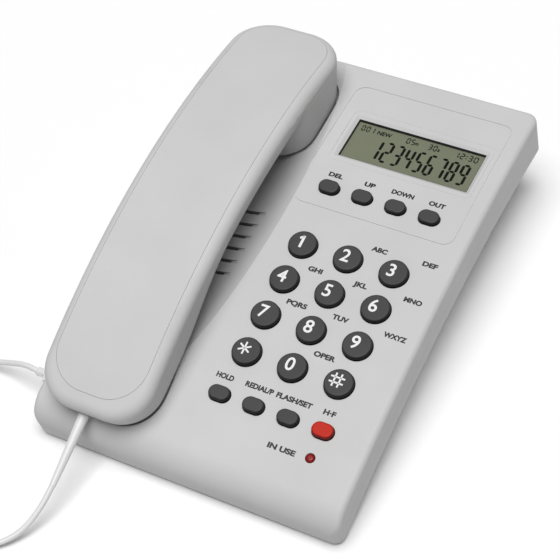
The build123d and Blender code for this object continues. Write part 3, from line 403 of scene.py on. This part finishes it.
def cord_path():
    """The cord's centre line: plain lead, helix, plain tail."""
    line = spline_points(LEAD_ROUTE + COIL_ROUTE + TAIL_ROUTE)
    along = lengths_along(line)
    ends = []
    for place in (COIL_ROUTE[0], COIL_ROUTE[-1]):
        ends.append(along[np.linalg.norm(line - np.array(place), axis=1).argmin()])
    axis_length = ends[1] - ends[0]
    wire = CORD_LENGTH - (along[-1] - axis_length)
    full_length = axis_length - HELIX_RAMP
    turns = math.sqrt((wire - HELIX_RAMP) ** 2 - full_length ** 2) / (2 * math.pi * HELIX_RADIUS)
    turns *= axis_length / full_length
    lead = np.arange(0.0, ends[0], PLAIN_STEP)
    coil = np.linspace(ends[0], ends[1], round(turns * TURN_POINTS))
    tail = np.arange(ends[1] + PLAIN_STEP, along[-1], PLAIN_STEP)
    at = np.concatenate([lead, coil, tail, [along[-1]]])
    middle = np.stack([np.interp(at, along, line[:, k]) for k in range(3)], axis=1)
    forward = np.gradient(middle, axis=0)
    forward /= np.linalg.norm(forward, axis=1)[:, None]
    side = np.cross([0.0, 0.0, 1.0], forward)
    side /= np.linalg.norm(side, axis=1)[:, None]
    over = np.cross(forward, side)
    share = np.clip(np.minimum(at - ends[0], ends[1] - at) / HELIX_RAMP, 0.0, 1.0)
    radius = HELIX_RADIUS * share * share * (3.0 - 2.0 * share)
    angle = 2 * math.pi * turns * (at - ends[0]) / axis_length
    offset = np.cos(angle)[:, None] * side + np.sin(angle)[:, None] * over
    return middle + radius[:, None] * offset


def tube(path, radius, sides):
    """Round tube along a path, its sections carried along without twist."""
    forward = np.gradient(path, axis=0)
    forward /= np.linalg.norm(forward, axis=1)[:, None]
    up = np.cross(forward[0], [0.0, 0.0, 1.0])
    points, faces = [], []
    for place, ahead in zip(path, forward):
        up = up - ahead * up.dot(ahead)
        up /= np.linalg.norm(up)
        across = np.cross(ahead, up)
        for index in range(sides):
            angle = 2 * math.pi * index / sides
            points.append(place + radius * (math.cos(angle) * up + math.sin(angle) * across))
    for ring in range(len(path) - 1):
        for index in range(sides):
            following = (index + 1) % sides
            low, high = ring * sides, (ring + 1) * sides
            faces.append((low + index, low + following, high + following, high + index))
    faces.append(tuple(reversed(range(sides))))
    faces.append(tuple(range(len(points) - sides, len(points))))
    return points, faces


def make_cord(materials):
    """Curly handset cord, from the strain relief to its plug."""
    path = cord_path()
    solid = tube(path, CORD_DIAMETER / 2, TUBE_SIDES)
    cord = new_piece("handset_cord", solid, materials["cord_vinyl"], smooth=True)
    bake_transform(cord)
    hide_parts("cord_lead", "cord_coil", "cord_tail")


# ---------------------------------------------------------------- printing on the face and the keys
FACE_LABELS = (
    ("DEL", -22.8, 62.8, 6.4), ("UP", -7.5, 63.1, 4.8), ("DOWN", 7.1, 63.4, 9.8), ("OUT", 22.3, 63.2, 7.1),
    ("ABC", 9.9, 34.6, 6.7), ("DEF", 31.6, 35.0, 6.4),
    ("GHI", -10.4, 17.2, 6.2), ("JKL", 9.5, 17.0, 5.9), ("MNO", 32.0, 17.3, 7.6),
    ("PQRS", -10.6, 0.4, 8.8), ("TUV", 8.5, 0.4, 6.9), ("WXYZ", 31.9, 0.2, 9.6),
    ("OPER", 9.6, -16.8, 9.2),
    ("HOLD", -23.7, -37.9, 7.5), ("REDIAL/P", -8.7, -37.7, 12.1), ("FLASH/SET", 6.3, -37.75, 15.2),
    ("H·F", 21.4, -37.8, 5.1), ("IN USE", 9.9, -57.4, 11.7),
)
LABEL_HEIGHT, LABEL_BOLD = 2.3, 0.05
DIGIT_HEIGHT, DIGIT_BOLD, DIGIT_OFFSET = 5.6, 0.014, (-0.9, 0.6)
DIGIT_COLUMNS, DIGIT_PITCH_Y = (-20.0, 0.0, 20.0), 17.23
DIGIT_ROWS = (("1", "2", "3"), ("4", "5", "6"), ("7", "8", "9"), ("star", "0", "hash"))
SIGN_STROKE = 0.95
FINE_STROKE = 0.75 * SIGN_STROKE


def glyphs(text, bold):
    """Mesh points and faces of a word in the built-in letters."""
    curve = bpy.data.curves.new("word", "FONT")
    curve.body = text
    curve.offset = bold
    curve.extrude = 0.01
    curve.resolution_u = 6
    holder = bpy.data.objects.new("word", curve)
    mesh = bpy.data.meshes.new_from_object(holder)
    points = np.array([vertex.co for vertex in mesh.vertices], float)
    faces = [tuple(polygon.vertices) for polygon in mesh.polygons]
    bpy.data.objects.remove(holder)
    bpy.data.meshes.remove(mesh)
    return points, faces


def word(text, height, bold, width=None):
    """A printed word about the origin, its capitals this high and the whole this wide."""
    points, faces = glyphs(text, bold)
    capital = glyphs("H", bold)[0]
    low, high = points.min(axis=0), points.max(axis=0)
    capital_low, capital_high = capital[:, 1].min(), capital[:, 1].max()
    scale_y = height / (capital_high - capital_low)
    scale_x = width / (high[0] - low[0]) if width else scale_y
    points[:, 0] = (points[:, 0] - (low[0] + high[0]) / 2) * scale_x
    points[:, 1] = (points[:, 1] - (capital_low + capital_high) / 2) * scale_y
    points[:, 2] = (points[:, 2] - low[2]) / (high[2] - low[2]) * INK_THICKNESS
    return points, faces


def star_sign():
    """Star of three crossing strokes."""
    half = 0.5 * DIGIT_HEIGHT
    strokes = []
    for degrees in (90.0, 30.0, -30.0):
        x, y = half * math.cos(math.radians(degrees)), half * math.sin(math.radians(degrees))
        strokes.append(bar((-x, -y), (x, y), FINE_STROKE, point_share=0.2))
    return joined(strokes)


def one_sign():
    """A plain 1: an upright stroke with a short flag."""
    half = 0.5 * DIGIT_HEIGHT
    stem = bar((0.5, -half), (0.5, half), 1.1, point_share=0.05)
    flag = bar((-1.0, half - 1.5), (0.7, half - 0.25), SIGN_STROKE, point_share=0.1)
    return joined([stem, flag])


def hash_sign():
    """Two upright strokes crossed by two level ones."""
    half, apart, stroke = 0.53 * DIGIT_HEIGHT, 1.15, FINE_STROKE
    strokes = []
    for offset in (-apart, apart):
        strokes.append(bar((offset, -half), (offset, half), stroke, point_share=0.1))
        strokes.append(bar((-half, offset), (half, offset), stroke, point_share=0.1))
    return joined(strokes)


def make_printing(materials):
    """Black words on the face, and a white sign on each digit key."""
    words = [
        moved(word(text, LABEL_HEIGHT, LABEL_BOLD, width), face_place(x, y))
        for text, x, y, width in FACE_LABELS
    ]
    new_piece("face_printing", joined(words), materials["black_ink"], "base")
    for row, names in enumerate(DIGIT_ROWS):
        for x, name in zip(DIGIT_COLUMNS, names):
            y = (1.5 - row) * DIGIT_PITCH_Y
            signs = {"1": one_sign, "star": star_sign, "hash": hash_sign}
            sign = signs[name]() if name in signs else word(name, DIGIT_HEIGHT, DIGIT_BOLD)
            place = key_place(x, y) @ Matrix.Translation((DIGIT_OFFSET[0] * MM, DIGIT_OFFSET[1] * MM, 0))
            new_piece(f"sign_{name}", moved(sign, place), materials["white_ink"], f"key_{name}_cap")


# ---------------------------------------------------------------- display
# Bottom, width, height, stroke and pitch of the digits of each number on the display
NUMBER_DIGITS = (-7.4, 3.9, 11.7, 1.2, 4.89)
SMALL_DIGITS = (6.2, 1.7, 3.3, 0.5, 2.2)
CLOCK_DIGITS = (6.2, 1.95, 3.3, 0.52, 2.5)
DISPLAY_WORDS = (("NEW", -16.0, 2.2, 6.4), ("m", -1.1, 2.0, 1.5), ("s", 8.7, 2.0, 1.1))
DISPLAY_WORDS_Y, DISPLAY_BOLD = 7.6, 0.03
COLON_PITCH, SEGMENT_GAP = 0.45, 0.12
SEGMENTS = {
    "0": "abcdef", "1": "bc", "2": "abged", "3": "abgcd", "4": "fgbc",
    "5": "afgcd", "6": "afgedc", "7": "abc", "8": "abcdefg", "9": "abcdfg",
}


def segment_digit(digit, left, bottom, width, height, stroke):
    """One seven-segment digit as flat bars, its corner at left, bottom."""
    x0, x1 = left + stroke / 2, left + width - stroke / 2
    y0, y1, y2 = bottom + stroke / 2, bottom + height / 2, bottom + height - stroke / 2
    gap = SEGMENT_GAP * stroke
    places = {
        "a": ((x0, y2), (x1, y2)), "g": ((x0, y1), (x1, y1)), "d": ((x0, y0), (x1, y0)),
        "f": ((x0, y1), (x0, y2)), "b": ((x1, y1), (x1, y2)),
        "e": ((x0, y0), (x0, y1)), "c": ((x1, y0), (x1, y1)),
    }
    bars = []
    for name in SEGMENTS[digit]:
        (xa, ya), (xb, yb) = places[name]
        dx, dy = (gap, 0.0) if name in "agd" else (0.0, gap)
        bars.append(bar((xa + dx, ya + dy), (xb - dx, yb - dy), stroke))
    return bars


def segment_number(text, left, bottom, width, height, stroke, pitch):
    """A row of digits, with a colon as two dots."""
    bars = []
    for character in text:
        if character == ":":
            for share in (0.3, 0.7):
                y = bottom + share * height
                bars.append(bar((left, y), (left + stroke * 1.2, y), stroke, point_share=0.3))
            left += pitch * COLON_PITCH
            continue
        bars.extend(segment_digit(character, left, bottom, width, height, stroke))
        left += pitch
    return bars


def make_display(materials):
    """Dark segments on the glass, and a black gasket between the window and the housing, painted shade on
    the opening's walls.
    """
    bars = segment_number("123456789", -17.7, *NUMBER_DIGITS)
    for text, left in (("001", -26.7), ("05", -5.9), ("30", 4.0)):
        bars += segment_number(text, left, *SMALL_DIGITS)
    bars += segment_number("12:30", 15.8, *CLOCK_DIGITS)
    parts = [moved(solid, display_place(GLASS_Z)) for solid in bars]
    for text, x, height, width in DISPLAY_WORDS:
        place = display_place(GLASS_Z) @ Matrix.Translation((x * MM, DISPLAY_WORDS_Y * MM, 0))
        parts.append(moved(word(text, height, DISPLAY_BOLD, width), place))
    new_piece("display_segments", joined(parts), materials["segment_ink"], "base")
    # The black gasket lines the walls of the window opening as painted shade.
    outer = [side - SHADE_GASKET_CLEARANCE for side in WINDOW_SIZE]
    inner = [side - SHADE_GASKET_INNER for side in WINDOW_SIZE]
    shade_gasket = moved(frame_solid(outer, inner, GLASS_Z, WINDOW_TOP - SHADE_GASKET_DROP), display_place(0.0))
    new_piece("window_shade_gasket", shade_gasket, materials["foam"], "base")


# ---------------------------------------------------------------- stage
def make_floor():
    """Plain pale floor."""
    material = moulded("floor", grey(221), 0.8, grain=0.0, grain_size=5.0, spread=0.002)
    shader = material.node_tree.nodes["Principled BSDF"]
    shader.inputs["Emission Color"].default_value = (1.0, 1.0, 1.0, 1.0)
    shader.inputs["Emission Strength"].default_value = FLOOR_GLOW
    corners = ((-1, -1), (1, -1), (1, 1), (-1, 1))
    points = [(x * FLOOR_HALF, y * FLOOR_HALF, FLOOR_Z) for x, y in corners]
    new_piece("floor", (points, [(0, 1, 2, 3)]), material)


def sun_light():
    """Distant soft light, nearly overhead."""
    light = bpy.data.lights.new("key_light", "SUN")
    light.energy = SUN_STRENGTH
    light.angle = math.radians(SUN_SPREAD)
    lamp = bpy.data.objects.new("key_light", light)
    lamp.location = SUN_PLACE
    lamp.rotation_euler = (-Vector(SUN_PLACE)).to_track_quat("-Z", "Y").to_euler()
    bpy.context.scene.collection.objects.link(lamp)


def make_stage():
    """Floor, white surroundings and a soft light from above."""
    make_floor()
    world = bpy.data.worlds.new("studio")
    world.use_nodes = True
    world.node_tree.nodes["Background"].inputs["Color"].default_value = (1.0, 1.0, 1.0, 1.0)
    world.node_tree.nodes["Background"].inputs["Strength"].default_value = WORLD_STRENGTH
    bpy.context.scene.world = world
    bpy.context.scene.view_settings.view_transform = "Standard"
    sun_light()


make_camera()
materials = make_materials()
make_cord(materials)
finish_cad_nodes(materials)
make_printing(materials)
make_display(materials)
make_stage()
